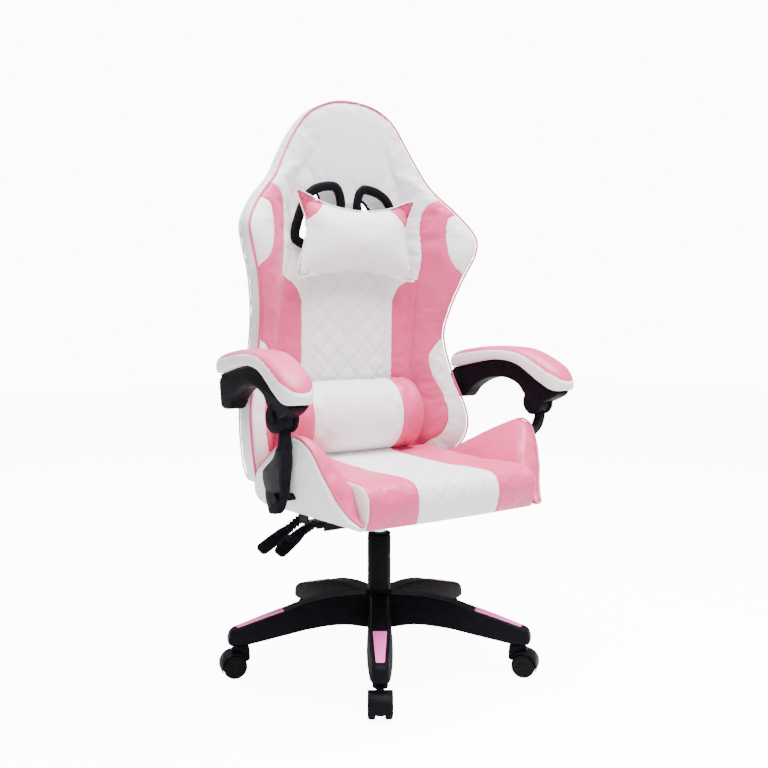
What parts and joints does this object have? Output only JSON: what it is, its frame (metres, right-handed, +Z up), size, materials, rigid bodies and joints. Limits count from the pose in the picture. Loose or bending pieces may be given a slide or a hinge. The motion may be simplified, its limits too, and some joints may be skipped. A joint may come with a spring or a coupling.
{
  "type": "gaming chair",
  "caption": "High-backed swivel gaming chair with a reclining winged backrest, head and lumbar pillows, level-keeping linkage armrests, a gas lift and a star base on casters.",
  "frame": {"origin": "on the floor under the middle of the whole chair; the swivel axis stands 26 mm in front of it", "axes": "+Z up, the sitter faces -Y, +X is at the sitter's left"},
  "size_m": [0.7368, 0.6361, 1.208],
  "materials": {
    "white_upholstery": "smooth white imitation leather with a fine grain, sewn over foam",
    "pink_upholstery": "smooth pastel pink imitation leather with a fine grain, sewn over foam",
    "white_leather": "smooth white imitation leather with a fine grain",
    "black_plastic": "moulded nylon, fine matt texture",
    "black_tread": "moulded nylon wheels, slightly polished by rolling",
    "pink_plastic": "glossy pink moulding",
    "black_steel": "satin black powder coat",
    "zinc_steel": "zinc-plated steel",
    "chrome": "hard chrome, polished",
    "black_rubber": "ribbed soft rubber",
    "black_webbing": "woven elastic band",
    "plywood": "plain bent plywood"
  },
  "bodies": {
    "base": {"base_star": "black_plastic", "leg_insert_1": "pink_plastic", "leg_insert_2": "pink_plastic", "leg_insert_3": "pink_plastic", "leg_insert_4": "pink_plastic", "leg_insert_5": "pink_plastic", "column_tube": "black_steel", "column_bush": "black_plastic", "thrust_bearing": "zinc_steel"},
    "lift_rod": {"piston_rod": "zinc_steel"},
    "seat": {"gas_cylinder": "chrome", "mech_housing": "black_steel", "seat_board": "plywood", "seat_cushion": "white_upholstery", "bolster_right": "pink_upholstery", "bolster_left": "pink_upholstery", "hinge_bracket": "black_steel", "hinge_pin": "zinc_steel", "seat_arm_bracket_right": "black_steel", "seat_arm_bracket_left": "black_steel", "link_foot_bolt_right": "zinc_steel", "link_foot_bolt_left": "zinc_steel"},
    "back": {"back_bracket": "black_steel", "back_frame": "black_steel", "back_cushion": "white_upholstery", "back_panel": "white_leather", "head_pillow": "white_upholstery", "head_strap": "black_webbing", "lumbar_pillow": "white_upholstery", "hole_bezel_right": "black_plastic", "hole_bezel_left": "black_plastic", "arm_spacer_right": "black_plastic", "arm_spacer_left": "black_plastic", "arm_rear_bolt_right": "black_plastic", "arm_rear_bolt_left": "black_plastic"},
    "armrest_right": {"upper_arm_right": "black_plastic", "arm_pad_right": "pink_upholstery", "arm_front_pin_right": "black_plastic"},
    "arm_link_right": {"lower_link_right": "black_plastic"},
    "armrest_left": {"upper_arm_left": "black_plastic", "arm_pad_left": "pink_upholstery", "arm_front_pin_left": "black_plastic"},
    "arm_link_left": {"lower_link_left": "black_plastic"},
    "height_lever": {"height_lever_rod": "black_steel", "height_lever_boot": "black_rubber", "height_lever_paddle": "black_plastic"},
    "recline_lever": {"recline_lever_rod": "black_steel", "recline_lever_boot": "black_rubber", "recline_lever_paddle": "black_plastic"},
    "caster_1": {"caster_hood_1": "black_plastic"},
    "caster_wheel_1": {"caster_wheels_1": "black_tread"},
    "caster_2": {"caster_hood_2": "black_plastic"},
    "caster_wheel_2": {"caster_wheels_2": "black_tread"},
    "caster_3": {"caster_hood_3": "black_plastic"},
    "caster_wheel_3": {"caster_wheels_3": "black_tread"},
    "caster_4": {"caster_hood_4": "black_plastic"},
    "caster_wheel_4": {"caster_wheels_4": "black_tread"},
    "caster_5": {"caster_hood_5": "black_plastic"},
    "caster_wheel_5": {"caster_wheels_5": "black_tread"}
  },
  "joints": [
    {"name": "seat_swivel", "type": "hinge", "parent": "base", "child": "lift_rod", "pos_m": [0, -0.026, 0.07], "axis": [0, 0, 1], "continuous": true},
    {"name": "seat_lift", "type": "slide", "parent": "lift_rod", "child": "seat", "axis": [0, 0, 1], "range_m": [0, 0.08]},
    {"name": "back_recline", "type": "hinge", "parent": "seat", "child": "back", "pos_m": [0, 0.144, 0.408], "axis": [-1, 0, 0], "range_deg": [0, 45]},
    {"name": "arm_level_right", "type": "hinge", "parent": "back", "child": "armrest_right", "pos_m": [-0.328, 0.056, 0.572], "axis": [1, 0, 0], "range_deg": [0, 45]},
    {"name": "arm_link_right_swing", "type": "hinge", "parent": "seat", "child": "arm_link_right", "pos_m": [-0.283, -0.088, 0.392], "axis": [-1, 0, 0], "range_deg": [0, 45]},
    {"name": "arm_level_left", "type": "hinge", "parent": "back", "child": "armrest_left", "pos_m": [0.328, 0.056, 0.572], "axis": [1, 0, 0], "range_deg": [0, 45]},
    {"name": "arm_link_left_swing", "type": "hinge", "parent": "seat", "child": "arm_link_left", "pos_m": [0.283, -0.088, 0.392], "axis": [-1, 0, 0], "range_deg": [0, 45]},
    {"name": "height_lever_pull", "type": "hinge", "parent": "seat", "child": "height_lever", "pos_m": [-0.053, -0.017, 0.32], "axis": [0, 1, 0], "range_deg": [0, 6], "stiffness_Nm_per_rad": 4},
    {"name": "recline_lever_pull", "type": "hinge", "parent": "seat", "child": "recline_lever", "pos_m": [-0.053, 0.046, 0.32], "axis": [0, 1, 0], "range_deg": [0, 6], "stiffness_Nm_per_rad": 4},
    {"name": "caster_swivel_1", "type": "hinge", "parent": "base", "child": "caster_1", "pos_m": [0, 0.274, 0.064], "axis": [0, 0, 1], "continuous": true},
    {"name": "caster_roll_1", "type": "hinge", "parent": "caster_1", "child": "caster_wheel_1", "pos_m": [0, 0.29, 0.0245], "axis": [-1, 0, 0], "continuous": true},
    {"name": "caster_swivel_2", "type": "hinge", "parent": "base", "child": "caster_2", "pos_m": [-0.28532, 0.06671, 0.064], "axis": [0, 0, 1], "continuous": true},
    {"name": "caster_roll_2", "type": "hinge", "parent": "caster_2", "child": "caster_wheel_2", "pos_m": [-0.30053, 0.07165, 0.0245], "axis": [-0.309, -0.9511, 0], "continuous": true},
    {"name": "caster_swivel_3", "type": "hinge", "parent": "base", "child": "caster_3", "pos_m": [-0.17634, -0.26871, 0.064], "axis": [0, 0, 1], "continuous": true},
    {"name": "caster_roll_3", "type": "hinge", "parent": "caster_3", "child": "caster_wheel_3", "pos_m": [-0.18574, -0.28165, 0.0245], "axis": [0.809, -0.5878, 0], "continuous": true},
    {"name": "caster_swivel_4", "type": "hinge", "parent": "base", "child": "caster_4", "pos_m": [0.17634, -0.26871, 0.064], "axis": [0, 0, 1], "continuous": true},
    {"name": "caster_roll_4", "type": "hinge", "parent": "caster_4", "child": "caster_wheel_4", "pos_m": [0.18574, -0.28165, 0.0245], "axis": [0.809, 0.5878, 0], "continuous": true},
    {"name": "caster_swivel_5", "type": "hinge", "parent": "base", "child": "caster_5", "pos_m": [0.28532, 0.06671, 0.064], "axis": [0, 0, 1], "continuous": true},
    {"name": "caster_roll_5", "type": "hinge", "parent": "caster_5", "child": "caster_wheel_5", "pos_m": [0.30053, 0.07165, 0.0245], "axis": [-0.309, 0.9511, 0], "continuous": true}
  ],
  "couplings": [
    {"joint": "arm_level_right", "follows": "back_recline", "ratio": 1},
    {"joint": "arm_level_left", "follows": "back_recline", "ratio": 1},
    {"joint": "arm_link_right_swing", "follows": "back_recline", "ratio": 1},
    {"joint": "arm_link_left_swing", "follows": "back_recline", "ratio": 1}
  ]
}
